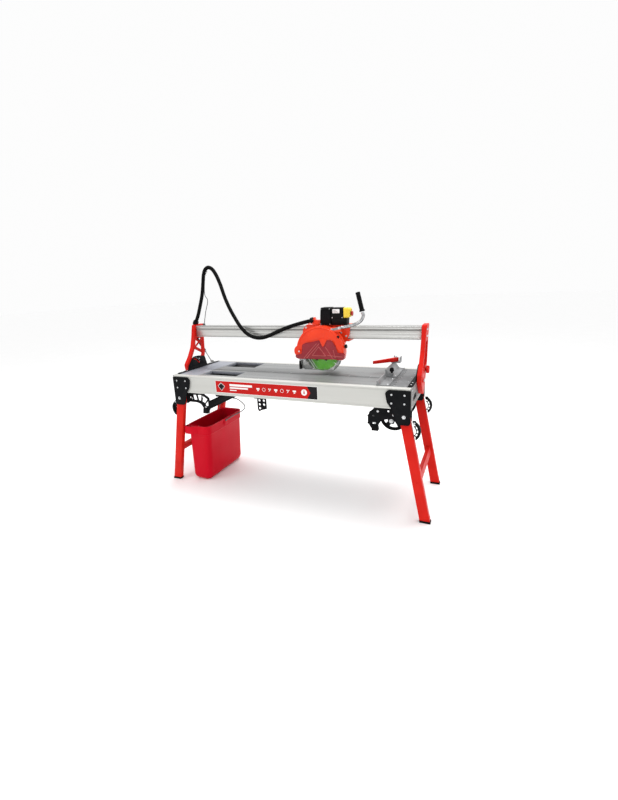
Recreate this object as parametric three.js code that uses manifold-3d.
// Rail tile cutter on folding legs: table, tilting bridge, carriage with plunging saw head, bucket.
// Millimetres, +Z up. X runs along the table, +Y to the back; the origin is on the floor under the
// middle of the table.
import * as THREE from "three";
import { mergeVertices } from "three/addons/utils/BufferGeometryUtils.js";
import Module from "manifold-3d";

const wasm = await Module();
wasm.setup();

// Driving dimensions.
const GAP = 0.3;
const TABLE = { halfLength: 807, halfWidth: 272, top: 800, depth: 118, plank: 8, profile: 7 };
const BEAM = { width: 36, wall: 4, flange: 6 };
const SLOT = { y: -48, halfWidth: 6, halfLength: 690 };
const PLANK_LEFT = -619.7;
const PLANK_RIGHT = 603.4;
const TRAY = { bottom: 690, halfWidth: 234, wall: 2.5, halfLength: 796 };
const LEG = { x: 769, z: 640, splay: 11.8, y: 252, wide: 57, thick: 32, wall: 2.5, barAt: 401 };
const FOOT = { height: 12, grow: 3 };
const ARM = { y0: 220, y1: 226 };
const AXLE = { x: 690, z: 593, r: 8 };
const WHEEL = { r: 81, rim: 13, width: 22, y: 150 };
const TILT = { y: -50, z: 800, pinR: 72, pinFrom: 30, range: 45 };
const UPRIGHT = { x0: 808.5, x1: 834, web: 6 };
const RAIL = { y0: 35, y1: 95, z0: 1021, z1: 1099 };
const STRUT = { x: -850, footY: 231, footZ: 800, topY: 60, topZ: 1040, rod: 4, tube: 10 };
const SAW = { x: 208, y: -50, z: 955, bladeR: 125, bladeT: 2.4, guardR: 157, guardWall: 7 };
const PLUNGE = { x: 72, z: 955, pin: 6 };
const GUARD = { front: -80, back: -22, wall: 3, low: 906 };
const WINDOW = { y0: -76, y1: -73, low: 838, lift: 20 };
const MOTOR = { r: 60, y0: -21.5, y1: 150 };
const BOX = { z0: 1110.3, x0: 189, x1: 262, x2: 344 };
const FENCE = { x0: 604, x1: 676, front: 826, rear: 845 };
const BUCKET = { height: 424, wall: 3, band: 6, bandLow: 362, corner: 46 };
const BUCKET_FOOT = { x0: -785, x1: -630, y0: -229, y1: 214 };
const BUCKET_RIM = { x0: -786, x1: -594, y0: -232, y1: 218 };
const BUCKET_LIP = { y: -254, wall: 4, low: 366, floor: 392 };
const BAIL = { y: -20, z: 410, r: 2.5 };
const CONDUIT_R = 13;

const COLOURS = {
  red: [0xd8301f, 0.4, 0.1],
  orange: [0xf04a24, 0.25, 0.0],
  aluminium: [0xcdcdc6, 0.4, 0.8],
  planks: [0xa3a5a4, 0.45, 0.8],
  black: [0x17181a, 0.5, 0.1],
  rubber: [0x111111, 0.85, 0.0],
  steel: [0x9a9da0, 0.35, 0.9],
  chrome: [0xd8dadd, 0.12, 1.0],
  crimson: [0xc8142e, 0.35, 0.0],
  green: [0x4d9430, 0.4, 0.4],
  smoke: [0x6a5a58, 0.1, 0.0],
  yellow: [0xf4d33a, 0.4, 0.0],
  stop: [0xb01b1b, 0.35, 0.0],
};

// Solids.
function solidOf(geometry) {
  const loose = geometry.index ? geometry.toNonIndexed() : geometry;
  const bare = new THREE.BufferGeometry();
  bare.setAttribute("position", loose.getAttribute("position"));
  const merged = mergeVertices(bare, 1e-3);
  return new wasm.Manifold(
    new wasm.Mesh({
      numProp: 3,
      vertProperties: merged.attributes.position.array,
      triVerts: new Uint32Array(merged.index.array),
    }),
  );
}

function geometryOf(solid) {
  const mesh = solid.getMesh();
  const geometry = new THREE.BufferGeometry();
  geometry.setAttribute("position", new THREE.BufferAttribute(new Float32Array(mesh.vertProperties), 3));
  geometry.setIndex(new THREE.BufferAttribute(new Uint32Array(mesh.triVerts), 1));
  geometry.computeVertexNormals();
  return geometry;
}

const join = (first, ...others) => others.reduce((sum, part) => sum.add(part), first);
const cut = (first, ...tools) => tools.reduce((rest, tool) => rest.subtract(tool), first);

function box(xa, xb, ya, yb, za, zb) {
  const geometry = new THREE.BoxGeometry(Math.abs(xb - xa), Math.abs(yb - ya), Math.abs(zb - za));
  geometry.translate((xa + xb) / 2, (ya + yb) / 2, (za + zb) / 2);
  return solidOf(geometry);
}

function rod(from, to, r, sides = 20) {
  const a = new THREE.Vector3(...from);
  const b = new THREE.Vector3(...to);
  const along = b.clone().sub(a);
  const geometry = new THREE.CylinderGeometry(r, r, along.length(), sides);
  const turn = new THREE.Quaternion().setFromUnitVectors(
    new THREE.Vector3(0, 1, 0),
    along.clone().normalize(),
  );
  geometry.applyQuaternion(turn);
  geometry.translate(...a.add(b).multiplyScalar(0.5).toArray());
  return solidOf(geometry);
}

// An outline in two axes, extruded along the third. The holes are outlines too.
function extruded(outline, depth, holes) {
  const edge = outline.map(([a, b]) => new THREE.Vector2(a, b));
  if (THREE.ShapeUtils.isClockWise(edge)) edge.reverse();
  const shape = new THREE.Shape(edge);
  for (const hole of holes) {
    shape.holes.push(new THREE.Path(hole.map(([a, b]) => new THREE.Vector2(a, b))));
  }
  return new THREE.ExtrudeGeometry(shape, { depth, bevelEnabled: false });
}

function plateXZ(outline, y0, y1, holes = []) {
  const geometry = extruded(outline, Math.abs(y1 - y0), holes);
  geometry.rotateX(Math.PI / 2);
  geometry.translate(0, Math.max(y0, y1), 0);
  return solidOf(geometry);
}

function plateYZ(outline, x0, x1, holes = []) {
  const geometry = extruded(outline, Math.abs(x1 - x0), holes);
  const turn = new THREE.Matrix4().makeBasis(
    new THREE.Vector3(0, 1, 0),
    new THREE.Vector3(0, 0, 1),
    new THREE.Vector3(1, 0, 0),
  );
  geometry.applyMatrix4(turn);
  geometry.translate(Math.min(x0, x1), 0, 0);
  return solidOf(geometry);
}

function plateXY(outline, z0, z1, holes = []) {
  const geometry = extruded(outline, z1 - z0, holes);
  geometry.translate(0, 0, z0);
  return solidOf(geometry);
}

// Outlines.
function arc(cx, cy, r, from, to, steps) {
  const points = [];
  for (let i = 0; i <= steps; i++) {
    const a = THREE.MathUtils.degToRad(from + ((to - from) * i) / steps);
    points.push([cx + r * Math.cos(a), cy + r * Math.sin(a)]);
  }
  return points;
}

const circle = (cx, cy, r, sides = 20) => arc(cx, cy, r, 0, 360 - 360 / sides, sides - 1);

function rounded(outline, radius, steps = 2) {
  const corners = outline.map(([a, b]) => new THREE.Vector2(a, b));
  return corners.flatMap((corner, i) => {
    const before = corners.at(i - 1).clone().sub(corner);
    const after = corners[(i + 1) % corners.length].clone().sub(corner);
    const reach = Math.min(radius, before.length() / 2.1, after.length() / 2.1);
    const bend = new THREE.QuadraticBezierCurve(
      corner.clone().add(before.setLength(reach)),
      corner,
      corner.clone().add(after.setLength(reach)),
    );
    return bend.getPoints(steps).map((p) => [p.x, p.y]);
  });
}

const mirrored = (outline, side) => outline.map(([a, b]) => [a * side, b]);

function tubeAlong(points, r, sides, steps) {
  const path = new THREE.CatmullRomCurve3(points.map((p) => new THREE.Vector3(...p)), false, "centripetal");
  const section = new THREE.Shape(circle(0, 0, r, sides).map(([a, b]) => new THREE.Vector2(a, b)));
  return solidOf(new THREE.ExtrudeGeometry(section, { steps, extrudePath: path, bevelEnabled: false }));
}

// Closed surface through level rings of points, each ring with the same number of points.
function loft(rings) {
  const count = rings[0].length;
  const triangles = [];
  const corner = (ring, i) => rings[ring][i % count];
  for (let ring = 0; ring < rings.length - 1; ring++) {
    for (let i = 0; i < count; i++) {
      triangles.push(corner(ring, i), corner(ring, i + 1), corner(ring + 1, i + 1));
      triangles.push(corner(ring, i), corner(ring + 1, i + 1), corner(ring + 1, i));
    }
  }
  for (let i = 1; i < count - 1; i++) {
    triangles.push(corner(0, 0), corner(0, i + 1), corner(0, i));
    const last = rings.length - 1;
    triangles.push(corner(last, 0), corner(last, i), corner(last, i + 1));
  }
  const geometry = new THREE.BufferGeometry();
  geometry.setAttribute("position", new THREE.Float32BufferAttribute(triangles.flat(), 3));
  return solidOf(geometry);
}

const group = new THREE.Group();

function add(name, solid, colour) {
  const [color, roughness, metalness] = COLOURS[colour];
  const material = new THREE.MeshStandardMaterial({ color, roughness, metalness });
  const mesh = new THREE.Mesh(geometryOf(solid), material);
  mesh.name = name;
  group.add(mesh);
}

const ENDS = [["left", -1], ["right", 1]];
const CORNERS = [
  ["front_left", -1, -1],
  ["front_right", 1, -1],
  ["rear_left", -1, 1],
  ["rear_right", 1, 1],
];

// Long beams: a channel open to the inside of the table.
function longBeam(side) {
  const outer = TABLE.halfWidth;
  const inner = outer - BEAM.width;
  const low = TABLE.top - TABLE.depth;
  const section = [
    [inner, low],
    [outer, low],
    [outer, TABLE.top],
    [inner, TABLE.top],
    [inner, TABLE.top - BEAM.flange],
    [outer - BEAM.wall, TABLE.top - BEAM.flange],
    [outer - BEAM.wall, low + BEAM.flange],
    [inner, low + BEAM.flange],
  ];
  const end = TABLE.halfLength - TABLE.profile - GAP;
  return plateYZ(mirrored(section, side), -end, end);
}

// End profile: a plate across the table end, with the ball stud of the gas strut on the left one.
function endProfile(side) {
  const outer = TABLE.halfLength;
  const plate = box(
    side * (outer - TABLE.profile),
    side * outer,
    -TABLE.halfWidth,
    TABLE.halfWidth,
    TABLE.top - TABLE.depth,
    TABLE.top,
  );
  const window = (y) => box(side * (outer - 20), side * (outer + 20), y - 60, y + 60, 712, 750);
  const profile = cut(plate, window(-150), window(150));
  if (side > 0) return profile;
  const lug = box(-outer, STRUT.x + 8, STRUT.footY - 14, STRUT.footY + 14, 770, 784);
  const post = box(-outer - 3, -outer, STRUT.footY - 14, STRUT.footY + 14, 740, 784);
  const wing = box(STRUT.x + 5.5, STRUT.x + 13, STRUT.footY - 12, STRUT.footY + 12, 770, 806);
  const stud = rod([STRUT.x + 5.5, STRUT.footY, 800], [STRUT.x - 8, STRUT.footY, 800], 4, 16);
  return join(profile, lug, post, wing, stud);
}

// Table planks, each side of the blade slot, with an open well to the tray.
function plank(yEdge, yOuter, well) {
  const low = TABLE.top - TABLE.plank;
  return cut(box(PLANK_LEFT, PLANK_RIGHT, yEdge, yOuter, low, TABLE.top), well);
}

function frontPlank() {
  const well = box(-612, -340, -205, -90, 780, 810);
  return plank(SLOT.y - SLOT.halfWidth, -TABLE.halfWidth + BEAM.width + GAP, well);
}

function rearPlank() {
  const well = box(-612, -360, 66, 226, 780, 810);
  return plank(SLOT.y + SLOT.halfWidth, TABLE.halfWidth - BEAM.width - GAP, well);
}

function endPlate(side) {
  const inner = side > 0 ? PLANK_RIGHT + GAP : PLANK_LEFT - GAP;
  const outer = side * (TABLE.halfLength - TABLE.profile - GAP);
  const edge = TABLE.halfWidth - BEAM.width - GAP;
  const plate = box(inner, outer, -edge, edge, TABLE.top - TABLE.plank, TABLE.top);
  const slotEnd = side * SLOT.halfLength;
  const y0 = SLOT.y - SLOT.halfWidth;
  return cut(plate, box(inner - side * 5, slotEnd, y0, y0 + 2 * SLOT.halfWidth, 780, 810));
}

// Water tray: an open pan under the planks.
function waterTray() {
  const { bottom, halfWidth, wall, halfLength } = TRAY;
  const pan = box(-halfLength, halfLength, -halfWidth, halfWidth, bottom, 780);
  const inside = box(
    -halfLength + wall,
    halfLength - wall,
    -halfWidth + wall,
    halfWidth - wall,
    bottom + wall,
    800,
  );
  return cut(pan, inside, rod([-652, 0, bottom - 5], [-652, 0, bottom + 8], 16));
}

function drainSpout() {
  const bell = loft([
    circle(-652, 0, 17, 20).map(([x, y]) => [x, y, 586]),
    circle(-652, 0, 20, 20).map(([x, y]) => [x, y, 640]),
    circle(-652, 0, 32, 20).map(([x, y]) => [x, y, 676]),
    circle(-652, 0, 36, 20).map(([x, y]) => [x, y, TRAY.bottom - GAP]),
  ]);
  return cut(bell, rod([-652, 0, 570], [-652, 0, 700], 13));
}

// Leg bracket: outer cheek, inner cheek, web under the beam and the pivot pin.
function legBracket(endSide, ySide) {
  const cheek = [
    [664, 772],
    [680, 790],
    [804, 790],
    [806, 606],
    [796, 593],
    [738, 593],
    [727, 600],
    [698, 686],
    [675, 717],
  ];
  const innerCheek = [
    [704, 679],
    [806, 679],
    [806, 606],
    [796, 593],
    [738, 593],
    [727, 600],
  ];
  const outline = (points) => mirrored(rounded(points, 7), endSide);
  const bolts = [700, 771].flatMap((x) => [716, 765].map((z) => [x * endSide, z]));
  const heads = bolts.map(([x, z]) => rod([x, ySide * 277, z], [x, ySide * 281, z], 8, 8));
  return join(
    plateXZ(outline(cheek), ySide * (TABLE.halfWidth + 1), ySide * (TABLE.halfWidth + 6)),
    plateXZ(mirrored(innerCheek, endSide), ySide * 228, ySide * 233),
    box(endSide * 704, endSide * 806, ySide * 228, ySide * 278, 676, 681.5),
    rod([endSide * LEG.x, ySide * 228, LEG.z], [endSide * LEG.x, ySide * 281, LEG.z], 7, 14),
    ...heads,
  );
}

// End arm: a curved black plate with a rubber-shod tip, in a welded pair. The left pair has windows.
function armPlate(side, ySide) {
  const outline = [
    [745, 665],
    [605, 668],
    [560, 640],
    [560, 560],
    [579, 533],
    [615, 535],
    [615, 562],
    [632, 591],
    [664, 602],
    [745, 603],
  ];
  const windows = [
    [[694, 654], [668, 656], [660, 620], [688, 618]],
    [[656, 656], [622, 657], [632, 612], [650, 618]],
    [[610, 652], [575, 630], [600, 600], [622, 610]],
    [[572, 618], [572, 585], [592, 578], [598, 592]],
  ];
  const boltHoles = [[586, 616], [586, 570], [611, 647], [672, 650]].map(([x, z]) => circle(x, z, 6, 10));
  const openings = side < 0 ? windows.map((w) => rounded(w, 3)) : boltHoles;
  const plate = plateXZ(
    mirrored(rounded(outline, 8), side),
    ySide * ARM.y0,
    ySide * ARM.y1,
    openings.map((o) => mirrored(o, side)),
  );
  const eye = rod([side * 718, ySide * 200, 635], [side * 718, ySide * 230, 635], 7, 12);
  return cut(plate, eye);
}

function armFrame(side) {
  const bar = box(side * 553, side * 562, -ARM.y1, ARM.y1, 565, 620);
  const feet = [-1, 1].map((ySide) => box(side * 580, side * 614, ySide * 212, ySide * 234, 531, 563));
  const lugs = [-1, 1].map((ySide) =>
    plateXZ(rounded([[668, 610], [712, 610], [706, 576], [674, 576]], 8), ySide * ARM.y0, ySide * ARM.y1),
  );
  const frame = join(armPlate(side, -1), armPlate(side, 1), bar, ...feet);
  if (side < 0) return frame;
  const bore = rod([AXLE.x, -240, AXLE.z], [AXLE.x, 240, AXLE.z], AXLE.r + 0.4);
  return cut(join(frame, ...lugs), bore);
}

// Catch bracket that the folded legs rest against, with a ladder of holes.
const CATCH = { y0: 226, y1: 231 };

function catchBracket(ySide) {
  const outline = [
    [-178, 676],
    [-112, 676],
    [-112, 600],
    [-150, 590],
    [-168, 579],
    [-178, 592],
  ];
  const hole = (x, z) => circle(x, z, 8, 12);
  const holes = [hole(-162, 655), hole(-130, 655), hole(-162, 628), hole(-130, 628), hole(-162, 602)];
  return join(
    plateXZ(rounded(outline, 5), ySide * CATCH.y0, ySide * CATCH.y1, holes),
    box(-178, -112, ySide * CATCH.y0, ySide * 266, 676, 681.5),
  );
}

// Tilt quadrant: an upright plate with the arc slot that the bridge's guide pin runs in.
function tiltQuadrant(side) {
  const outline = [
    [-112, 800.3],
    [-104, 826],
    [-48, 880],
    [-34, 886],
    [20, 884],
    [89, 871],
    [112, 800.3],
  ];
  const from = TILT.pinFrom - 7;
  const to = TILT.pinFrom + TILT.range + 7;
  const slot = [
    ...arc(TILT.y, TILT.z, TILT.pinR + 5.5, from, to, 10),
    ...arc(TILT.y, TILT.z, TILT.pinR - 5.5, to, from, 10),
  ];
  const foot = box(side * 777, side * 805, -220, 220, 800.3, 804);
  return join(plateYZ(rounded(outline, 10), side * 800, side * 805, [slot]), foot);
}

function wheelAxle() {
  return rod([AXLE.x, -227.5, AXLE.z], [AXLE.x, 227.5, AXLE.z], AXLE.r, 20);
}

// End fence in two lengths, each side of the blade slot: a stop face with a ramp behind it.
function fence(y0, y1, height) {
  const section = [
    [FENCE.x0, 800.3],
    [FENCE.x1, 800.3],
    [FENCE.x1, 803.5],
    [FENCE.x0 + (height - 802) * 0.8, 806],
    [FENCE.x0 + 7, height],
    [FENCE.x0, height],
  ];
  return plateXZ(section, y0, y1);
}

function rearFence() {
  const boss = rod([642, 2, 801], [642, 2, 822], 11);
  return join(fence(-14, 254, FENCE.rear), boss);
}

// Legs: two tubes and a crossbar, turned about the pivot. Distances run down the leg from the pivot.
function legPoint(side, along, across) {
  const a = THREE.MathUtils.degToRad(LEG.splay);
  const x = LEG.x + along * Math.sin(a) + across * Math.cos(a);
  return [side * x, LEG.z - along * Math.cos(a) + across * Math.sin(a)];
}

function legOutline(side, half, alongTop, low, roundTop) {
  const a = THREE.MathUtils.degToRad(LEG.splay);
  const reach = (across) => (LEG.z - low + across * Math.sin(a)) / Math.cos(a);
  const foot = [legPoint(side, reach(half), half), legPoint(side, reach(-half), -half)];
  const top = roundTop
    ? arc(0, 0, half, 180, 0, 10).map(([across, up]) => legPoint(side, -up, across))
    : [legPoint(side, alongTop, -half), legPoint(side, alongTop, half)];
  return [...foot, ...top];
}

function legTube(side, ySide) {
  const low = FOOT.height + GAP;
  const y0 = ySide * (LEG.y - LEG.thick / 2);
  const y1 = ySide * (LEG.y + LEG.thick / 2);
  const bore = circle(side * LEG.x, LEG.z, 7.4, 16);
  const tube = plateXZ(legOutline(side, LEG.wide / 2, 0, low, true), y0, y1, [bore]);
  const hollow = plateXZ(
    legOutline(side, LEG.wide / 2 - LEG.wall, 45, low - 20, false),
    y0 + ySide * LEG.wall,
    y1 - ySide * LEG.wall,
  );
  return cut(tube, hollow);
}

function legFrame(side) {
  const inner = LEG.y - LEG.thick / 2 + 1;
  const bar = [
    legPoint(side, LEG.barAt - 22, -12),
    legPoint(side, LEG.barAt - 22, 12),
    legPoint(side, LEG.barAt + 22, 12),
    legPoint(side, LEG.barAt + 22, -12),
  ];
  return join(legTube(side, -1), legTube(side, 1), plateXZ(bar, -inner, inner));
}

function legFoot(side, ySide) {
  const half = LEG.wide / 2 + FOOT.grow;
  const inner = ySide * (LEG.y - LEG.thick / 2 - FOOT.grow);
  const outer = ySide * (LEG.y + LEG.thick / 2 + FOOT.grow);
  const splay = THREE.MathUtils.degToRad(LEG.splay);
  const legX = (z) => side * (LEG.x + (LEG.z - z) * Math.tan(splay));
  const [topX, lowX] = [legX(FOOT.height), legX(0)];
  const shoe = [[topX - half, FOOT.height], [topX + half, FOOT.height], [lowX + half, 0], [lowX - half, 0]];
  return plateXZ(shoe, inner, outer);
}

// Lock lever: a crescent handle on the outer side of a leg, hinged at its upper end.
const LEVER = { x: 824, z: 612 };

function lockLever(side, ySide) {
  const outerArc = arc(LEVER.x - 26, LEVER.z - 56, 62, 76, -54, 9);
  const innerArc = arc(LEVER.x - 30, LEVER.z - 56, 52, -44, 66, 7);
  const crescent = plateXZ(mirrored([...outerArc, ...innerArc], side), ySide * 240, ySide * 264);
  const [hubX, hubZ] = [side * LEVER.x, LEVER.z - 6];
  const hub = rod([hubX, ySide * 240, hubZ], [hubX, ySide * 264, hubZ], 8, 14);
  return join(crescent, hub);
}

// Transport wheel: tyre, spokes and hub about the axle.
function wheel(ySide) {
  const y0 = WHEEL.y - WHEEL.width / 2;
  const y1 = WHEEL.y + WHEEL.width / 2;
  const ring = (r, bore, ya, yb) =>
    plateXZ(circle(AXLE.x, AXLE.z, r, 28), ySide * ya, ySide * yb, [circle(AXLE.x, AXLE.z, bore, 20)]);
  const tyre = ring(WHEEL.r, WHEEL.r - WHEEL.rim, y0, y1);
  const hub = ring(18, AXLE.r + 0.4, y0, y1);
  const spokes = [0, 72, 144, 216, 288].map((turn) => {
    const a = THREE.MathUtils.degToRad(turn + 18);
    const at = (r, off) => [
      AXLE.x + r * Math.cos(a) - off * Math.sin(a),
      AXLE.z + r * Math.sin(a) + off * Math.cos(a),
    ];
    return plateXZ([at(14, -9), at(70, -15), at(70, 15), at(14, 9)], ySide * (y0 + 6), ySide * (y1 - 6));
  });
  return join(tyre, hub, ...spokes);
}

// Bridge upright: a trussed casting outside the table end, with the guide pin of the tilt quadrant.
function upright(side) {
  const outline = [
    [-103, 788],
    [-112, 837],
    [-67, 885],
    [-22, 950],
    [2, 1020],
    [20, 1090],
    [26, 1108],
    [134, 1108],
    [144, 1092],
    [120, 1035],
    [106, 885],
    [58, 775],
    [14, 706],
    [-14, 706],
    [-62, 745],
  ];
  const windows = [
    [[27, 1008], [91, 1008], [58, 987]],
    [[15, 1000], [47, 982], [6, 957]],
    [[99, 1000], [68, 983], [97, 962]],
    [[58, 975], [15, 950], [92, 910], [96, 950]],
    [[-6, 937], [80, 893], [74, 876], [-48, 876]],
  ];
  const recess = [
    [-56, 870],
    [-8, 944],
    [15, 1013],
    [104, 1013],
    [94, 886],
    [86, 870],
  ];
  const holes = windows.map((w) => rounded(w, 3));
  const x0 = side * UPRIGHT.x0;
  const casting = plateYZ(rounded(outline, 9), x0, side * UPRIGHT.x1, holes);
  const frame = cut(casting, plateYZ(rounded(recess, 6), x0 + side * UPRIGHT.web, side * (UPRIGHT.x1 + 1)));
  const pinAt = THREE.MathUtils.degToRad(TILT.pinFrom);
  const pinY = TILT.y + TILT.pinR * Math.cos(pinAt);
  const pinZ = TILT.z + TILT.pinR * Math.sin(pinAt);
  const pin = rod([side * 796, pinY, pinZ], [x0 + side, pinY, pinZ], 4.5, 16);
  const pivot = rod([x0 + side * 10, TILT.y, TILT.z], [side * (UPRIGHT.x1 + 6), TILT.y, TILT.z], 15, 20);
  if (side > 0) return join(frame, pin, pivot);
  const stud = rod([-UPRIGHT.x1 + 1, STRUT.topY, STRUT.topZ], [STRUT.x + 7, STRUT.topY, STRUT.topZ], 9, 16);
  const collar = fittingAt(CONDUIT_ROUTE.toReversed(), 18, 26);
  return join(frame, pin, pivot, stud, collar);
}

// Rail: a closed aluminium section with grooves along both faces, hollow through its length.
function rail() {
  const { y0, y1, z0, z1 } = RAIL;
  const face = [
    [0, 0],
    [0, 20],
    [5, 23],
    [5, 27],
    [0, 30],
    [0, 50],
    [5, 53],
    [5, 57],
    [0, 60],
    [0, z1 - z0],
  ];
  const front = face.map(([a, b]) => [y0 + a, z0 + b]);
  const back = face.map(([a, b]) => [y1 - a, z0 + b]).reverse();
  const hollow = rounded([[y0 + 9, z0 + 5], [y1 - 9, z0 + 5], [y1 - 9, z1 - 5], [y0 + 9, z1 - 5]], 3);
  const end = UPRIGHT.x0 - GAP;
  return plateYZ([...front, ...back], -end, end, [hollow]);
}

function wireSupport() {
  const wire = tubeAlong(
    [
      [-772, 88, 1100],
      [-751, 96, 1193],
      [-726, 100, 1279],
      [-744, 100, 1311],
      [-732, 98, 1412],
      [-712, 88, 1455],
      [-690, 82, 1476],
    ],
    3,
    8,
    28,
  );
  return join(wire, rod([-772, 88, 1099.4], [-772, 88, 1112], 9, 14));
}

// A round fitting beyond the end of a route, facing it across the gap.
function fittingAt(route, r, length) {
  const [before, end] = route.slice(-2).map((p) => new THREE.Vector3(...p));
  const along = end.clone().sub(before).normalize();
  const at = (distance) => end.clone().addScaledVector(along, distance).toArray();
  return rod(at(2 * GAP), at(length), r, 20);
}

// Corrugated conduit, from the collar on the left upright over its loop to the carriage's gland.
const CONDUIT_ROUTE = [
  [-818.4, 60, 1129.6],
  [-797, 60, 1168],
  [-769, 60, 1235],
  [-739, 60, 1316],
  [-719, 60, 1398],
  [-707, 60, 1452],
  [-689, 60, 1486],
  [-662, 60, 1500],
  [-630, 58, 1488],
  [-596, 52, 1447],
  [-564, 43, 1386],
  [-529, 35, 1291],
  [-492, 27, 1217],
  [-452, 18, 1156],
  [-412, 10, 1102],
  [-364, 5, 1056],
  [-318, 3, 1032],
  [-272, 3, 1023],
  [-217, 3, 1029],
  [-139, 3, 1058],
  [-65, 5, 1087],
  [7, 8, 1109],
  [79, 13, 1127],
  [117.7, 16, 1135],
];

// Gas strut: a rod on the table end and a tube that slides along it, its eye beside the bridge's stud.
function strutPoint(along, x = STRUT.x) {
  const foot = new THREE.Vector2(STRUT.footY, STRUT.footZ);
  const toTop = new THREE.Vector2(STRUT.topY, STRUT.topZ).sub(foot).normalize();
  return [x, foot.x + along * toTop.x, foot.y + along * toTop.y];
}

function strutRod() {
  const shaft = rod(strutPoint(8), strutPoint(272), STRUT.rod, 14);
  const eye = rod(strutPoint(0, STRUT.x - 5), strutPoint(0, STRUT.x + 5), 10, 18);
  const bore = rod(strutPoint(0, STRUT.x - 9), strutPoint(0, STRUT.x + 9), 4.4, 16);
  return cut(join(shaft, eye), bore);
}

function strutTube() {
  const tube = cut(
    rod(strutPoint(108), strutPoint(284), STRUT.tube, 20),
    rod(strutPoint(100), strutPoint(278), STRUT.rod + 0.6, 14),
  );
  const eye = rod(strutPoint(294.7, STRUT.x - 5), strutPoint(294.7, STRUT.x + 5), 12, 18);
  return join(tube, eye);
}

// Carriage: a red saddle round the rail with the ear and pin that the head plunges about.
function carriage() {
  const face = [
    [58, 1082],
    [84, 1110],
    [374, 1110],
    [372, 1052],
    [338, 986],
    [290, 1019],
    [128, 1019],
    [96, 985],
    [92, 938],
    [52, 938],
    [50, 985],
  ];
  const front = plateXZ(rounded(face, 8), 18, 33);
  const top = box(84, 372, 18, 112, 1101, 1110);
  const rear = box(62, 370, 97, 112, 1019.5, 1110);
  const lip = (x0, x1) => box(x0, x1, 20, 112, 1007, 1019.5);
  const pin = rod([PLUNGE.x, -86, PLUNGE.z], [PLUNGE.x, 20, PLUNGE.z], PLUNGE.pin, 18);
  const head = rod([PLUNGE.x, -89, PLUNGE.z], [PLUNGE.x, -84.5, PLUNGE.z], 10, 16);
  const gland = fittingAt(CONDUIT_ROUTE, 17, 34);
  const base = box(132, 188, 4, 44, 1109, 1140);
  return join(front, top, rear, lip(62, 132), lip(300, 370), pin, head, gland, base);
}

function switchBox() {
  const left = box(BOX.x0, BOX.x1 + 1, -12, 72, BOX.z0, 1217);
  const neck = box(BOX.x1, BOX.x2 - 16, -8, 60, BOX.z0, 1150);
  const right = box(BOX.x1, BOX.x2, -12, 60, 1140, 1215);
  const foot = box(BOX.x2 - 20, 364, -6, 50, BOX.z0, 1150);
  return join(left, neck, right, foot);
}

// Yellow flap over the switch, hinged on a vertical line at its rear edge, and its stop button.
const FLAP = { x0: 344.5, x1: 384, y0: -8, y1: 50, z0: 1153, z1: 1215, buttonZ: 1178 };

function switchFlap() {
  const { x0, x1, y0, y1, z0, z1, buttonZ } = FLAP;
  const yMid = (y0 + y1) / 2;
  const outline = rounded([[y0, z0], [y1, z0], [y1, z1], [y0, z1]], 8);
  const body = plateYZ(outline, x0, x1);
  const inside = box(x0 - 5, x0 + 22, y0 + 6, y1 - 8, z0 + 6, z1 - 6);
  return cut(body, inside, rod([x0 + 10, yMid, buttonZ], [x1 + 5, yMid, buttonZ], 8, 18));
}

function stopButton() {
  const yMid = (FLAP.y0 + FLAP.y1) / 2;
  return join(
    rod([FLAP.x1 - 15, yMid, FLAP.buttonZ], [FLAP.x1 + 8, yMid, FLAP.buttonZ], 7.4, 18),
    rod([FLAP.x1 + 6, yMid, FLAP.buttonZ], [FLAP.x1 + 13, yMid, FLAP.buttonZ], 15.5, 24),
  );
}

// Clear guard window: it hangs from the plunge pin in front of the blade.
function guardWindow() {
  const reach = SAW.guardR - SAW.guardWall - 2;
  const turn = THREE.MathUtils.degToRad(WINDOW.lift);
  const arm = SAW.x - PLUNGE.x;
  const lifted = [PLUNGE.x + arm * Math.cos(turn), PLUNGE.z - arm * Math.sin(turn)];
  const disc = (x, z, r) => plateXZ(circle(x, z, r, 40), WINDOW.y0, WINDOW.y1);
  const pane = disc(SAW.x, SAW.z, reach)
    .intersect(disc(lifted[0], lifted[1], reach))
    .intersect(box(64, 400, -90, 0, WINDOW.low, 1100));
  const ear = disc(PLUNGE.x, PLUNGE.z, 16);
  const rubber = box(64, 71, WINDOW.y0, -34, WINDOW.low + 1, 888);
  const corner = box(64, 100, WINDOW.y0, WINDOW.y1, WINDOW.low + 1, 900);
  const bore = rod([PLUNGE.x, -95, PLUNGE.z], [PLUNGE.x, 0, PLUNGE.z], PLUNGE.pin + 0.4, 18);
  return cut(join(pane, ear, corner, rubber), bore);
}

// Handle: a chrome tube from its clamp on the guard to the rubber grip.
const HANDLE_ROUTE = [
  [300, -60, 1090],
  [340, -60, 1099],
  [372, -60, 1105],
  [414, -60, 1116],
  [450, -60, 1128],
  [473, -60, 1147],
  [484, -60, 1172],
  [478, -60, 1192],
];
const GRIP_TIP = [450, -60, 1306];

function handleTube() {
  return tubeAlong(HANDLE_ROUTE, 9.5, 12, 18);
}

function handleGrip() {
  const foot = [477.3, -60, 1195];
  return join(rod(foot, GRIP_TIP, 13.5, 16), rod(foot, [474.5, -60, 1206], 17, 16));
}

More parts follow.
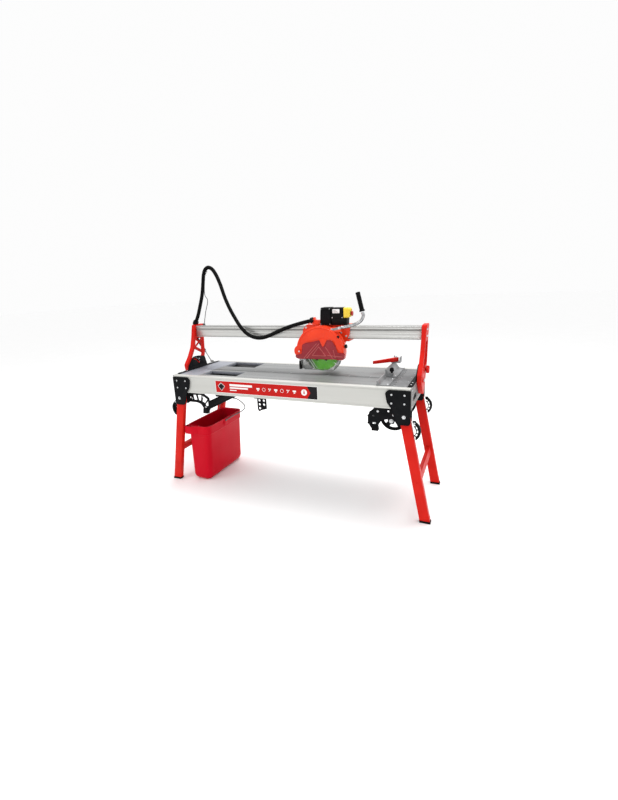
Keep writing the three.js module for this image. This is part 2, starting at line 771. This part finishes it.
// Guard housing: an orange shell over the upper half of the blade, open below and in front.
function guardHousing() {
  const { front, back, wall, low } = GUARD;
  const shell = (r, ear, y0, y1) =>
    join(
      plateXZ(circle(SAW.x, SAW.z, r, 56), y0, y1),
      plateXZ(circle(PLUNGE.x, PLUNGE.z, ear, 28), y0, y1),
    );
  const outer = shell(SAW.guardR, 38, front, back);
  const inner = shell(SAW.guardR - SAW.guardWall, 31, front + wall, back - wall);
  const opening = plateXZ(
    rounded([[98, 880], [100, 985], [205, 1028], [279, 1028], [316, 967], [318, 880]], 12),
    front - 5,
    front + wall + 1,
  );
  const block = box(266, 346, -72, -48, 1077, 1103);
  const body = cut(join(cut(outer, inner), block), opening);
  return cut(
    body,
    box(-50, 450, -100, 0, 700, low),
    rod([SAW.x, -40, SAW.z], [SAW.x, 0, SAW.z], 13),
    rod([PLUNGE.x, -95, PLUNGE.z], [PLUNGE.x, 0, PLUNGE.z], PLUNGE.pin + 0.4, 18),
    tubeAlong(HANDLE_ROUTE, 10.1, 12, 18),
    rod([288, -60, 1087.3], [301, -60, 1090.3], 10.1, 12),
  );
}

function motor() {
  const can = rod([SAW.x, MOTOR.y0 + 14, SAW.z], [SAW.x, MOTOR.y1 - 30, SAW.z], MOTOR.r, 32);
  const nose = rod([SAW.x, MOTOR.y0, SAW.z], [SAW.x, MOTOR.y0 + 15, SAW.z], 40, 28);
  const cowl = rod([SAW.x, MOTOR.y1 - 30, SAW.z], [SAW.x, MOTOR.y1, SAW.z], 54, 28);
  return join(can, nose, cowl);
}

function blade() {
  const y0 = SAW.y - SAW.bladeT / 2;
  const bore = circle(SAW.x, SAW.z, 9.4, 20);
  return plateXZ(circle(SAW.x, SAW.z, SAW.bladeR, 72), y0, y0 + SAW.bladeT, [bore]);
}

function arbor() {
  const disc = (y0, y1, r) => rod([SAW.x, y0, SAW.z], [SAW.x, y1, SAW.z], r, 24);
  return join(disc(-66, -22, 9), disc(-56, -51.6, 30), disc(-48.4, -44, 30));
}

// Knobs: a lobed grip on a stud, along X for the tilt lock and upright for the fence.
function tiltKnob() {
  const at = [40, 845];
  const lobes = [0, 60, 120, 180, 240, 300].map((turn) => {
    const a = THREE.MathUtils.degToRad(turn);
    const y = at[0] + 16 * Math.cos(a);
    const z = at[1] + 16 * Math.sin(a);
    return rod([838, y, z], [857, y, z], 8, 12);
  });
  const neck = rod([UPRIGHT.x1 + 2 * GAP, ...at], [839, ...at], 11, 18);
  return join(neck, rod([838, ...at], [857, ...at], 18, 24), ...lobes);
}

function fenceKnob() {
  return join(
    rod([642, 2, 822.3], [642, 2, 832], 6, 14),
    rod([642, 2, 830], [642, 2, 856], 10, 20),
    box(630, 654, -2, 6, 838, 854),
  );
}

// Side stop: a saddle that slides along the rear fence, and the red angle arm that swivels on it.
const STOP = { x: 628, y: 208, top: 852 };

function stopSlider() {
  return join(
    box(598, 656, 190, 250, FENCE.rear + 0.6, STOP.top),
    rod([STOP.x, STOP.y, STOP.top - 1], [STOP.x, STOP.y, 886], 5, 16),
    box(650, 656, 196, 250, STOP.top - 1, 882),
    box(606, 612, 236, 250, STOP.top - 1, 884),
  );
}

function stopArm() {
  const bore = [circle(0, 0, 5.4, 16)];
  const plan = rounded([[-14, -10], [16, -10], [176, -6], [180, 0], [176, 6], [16, 10], [-14, 10]], 6);
  const side = [[-20, 853], [190, 857], [190, 875], [-20, 880]];
  const bar = new THREE.Group();
  bar.position.set(STOP.x, STOP.y, 0);
  bar.rotation.z = THREE.MathUtils.degToRad(-133);
  bar.updateMatrix();
  const solid = plateXY(plan, 840, 890, bore).intersect(plateXZ(side, -40, 40));
  return solidOf(geometryOf(solid).applyMatrix4(bar.matrix));
}

// Bucket: a tapered tub with a deep rim band, and the wire bail on its long sides.
function tubRing(z, grow) {
  const { height, band, corner } = BUCKET;
  const wall = (key, outwards) => {
    const top = BUCKET_RIM[key] - outwards * band;
    return THREE.MathUtils.lerp(BUCKET_FOOT[key], top, z / height) + outwards * grow;
  };
  const [x0, x1, y0, y1] = [wall("x0", -1), wall("x1", 1), wall("y0", -1), wall("y1", 1)];
  return rounded([[x0, y0], [x1, y0], [x1, y1], [x0, y1]], corner + grow, 4).map(([a, b]) => [a, b, z]);
}

// The flared lip on the bucket's near end, drawn in by a wall thickness for its hollow.
function pouringLip(inset, low, high) {
  const left = BUCKET_RIM.x0 + 3 + inset;
  const root = -210 - inset;
  const front = BUCKET_LIP.y + inset;
  const plan = [
    [left, root],
    [left, front],
    [-728 - inset, front],
    [-672 - 3 * inset, -224 - inset],
    [-690, root],
  ];
  return plateXY(rounded(plan, 4), low, high);
}

function bucket() {
  const { height, wall, band, bandLow } = BUCKET;
  const body = loft([
    tubRing(0, -34),
    tubRing(6, -20),
    tubRing(18, -8),
    tubRing(34, -1.5),
    tubRing(46, 0),
    tubRing(height, 0),
  ]);
  const rim = loft([tubRing(bandLow - band, 1), tubRing(bandLow, band), tubRing(height, band)]);
  const inside = loft([
    tubRing(wall, -36),
    tubRing(9, -23),
    tubRing(21, -11),
    tubRing(46, -wall),
    tubRing(height + 10, -wall),
  ]);
  const tub = join(body, rim, pouringLip(0, BUCKET_LIP.low, height));
  const rimBlock = loft([tubRing(bandLow, band + 1), tubRing(height + 20, band + 1)]);
  const pocket = cut(pouringLip(BUCKET_LIP.wall, BUCKET_LIP.floor, height + 10), rimBlock);
  return cut(tub, inside, pocket);
}

function bail() {
  const { y, z, r } = BAIL;
  const arms = [BUCKET_RIM.x0 - 6, BUCKET_RIM.x1 + 6];
  const middle = (arms[0] + arms[1]) / 2;
  const half = [
    [102, y, z],
    [102, 90, 413],
    [104, 180, 412],
    [113, 208, 421],
    [119, 222, 434],
    [115, 226, 452],
    [60, 226.5, 496],
  ];
  const left = half.map(([dx, ...at]) => [middle - dx, ...at]);
  const right = half.map(([dx, ...at]) => [middle + dx, ...at]).reverse();
  const ends = arms.map((x) => rod([x - 3, y, z], [x + 3, y, z], 6, 12));
  return join(tubeAlong([...left, [middle, 227, 507], ...right], r, 6, 48), ...ends);
}

// The assembly.
add("front_beam", longBeam(-1), "aluminium");
add("rear_beam", longBeam(1), "aluminium");
for (const [name, side] of ENDS) {
  add(`${name}_end_profile`, endProfile(side), "aluminium");
  add(`${name}_end_plate`, endPlate(side), "planks");
  add(`${name}_quadrant`, tiltQuadrant(side), "black");
  add(`${name}_arm_frame`, armFrame(side), "black");
  add(`${name}_leg_frame`, legFrame(side), "red");
  add(`${name}_upright`, upright(side), "red");
}
add("front_plank", frontPlank(), "planks");
add("rear_plank", rearPlank(), "planks");
add("water_tray", waterTray(), "steel");
add("drain_spout", drainSpout(), "black");
for (const [name, side, ySide] of CORNERS) {
  add(`${name}_bracket`, legBracket(side, ySide), "black");
  add(`${name}_foot`, legFoot(side, ySide), "rubber");
  add(`${name}_lock_lever`, lockLever(side, ySide), "black");
}
add("front_catch_bracket", catchBracket(-1), "black");
add("rear_catch_bracket", catchBracket(1), "black");
add("wheel_axle", wheelAxle(), "steel");
add("front_wheel", wheel(-1), "black");
add("rear_wheel", wheel(1), "black");
add("front_fence", fence(-232, -56, FENCE.front), "aluminium");
add("rear_fence", rearFence(), "aluminium");
add("fence_knob", fenceKnob(), "black");
add("stop_slider", stopSlider(), "aluminium");
add("stop_arm", stopArm(), "crimson");
add("rail", rail(), "aluminium");
add("wire_support", wireSupport(), "steel");
add("conduit", tubeAlong(CONDUIT_ROUTE, CONDUIT_R, 8, 56), "rubber");
add("strut_rod", strutRod(), "steel");
add("strut_tube", strutTube(), "black");
add("tilt_knob", tiltKnob(), "red");
add("carriage", carriage(), "red");
add("switch_box", switchBox(), "black");
add("switch_flap", switchFlap(), "yellow");
add("stop_button", stopButton(), "stop");
add("guard_window", guardWindow(), "smoke");
add("guard_housing", guardHousing(), "orange");
add("motor", motor(), "black");
add("handle_tube", handleTube(), "chrome");
add("handle_grip", handleGrip(), "rubber");
add("blade", blade(), "green");
add("arbor", arbor(), "steel");
add("bucket", bucket(), "crimson");
add("bail", bail(), "steel");

export default group;
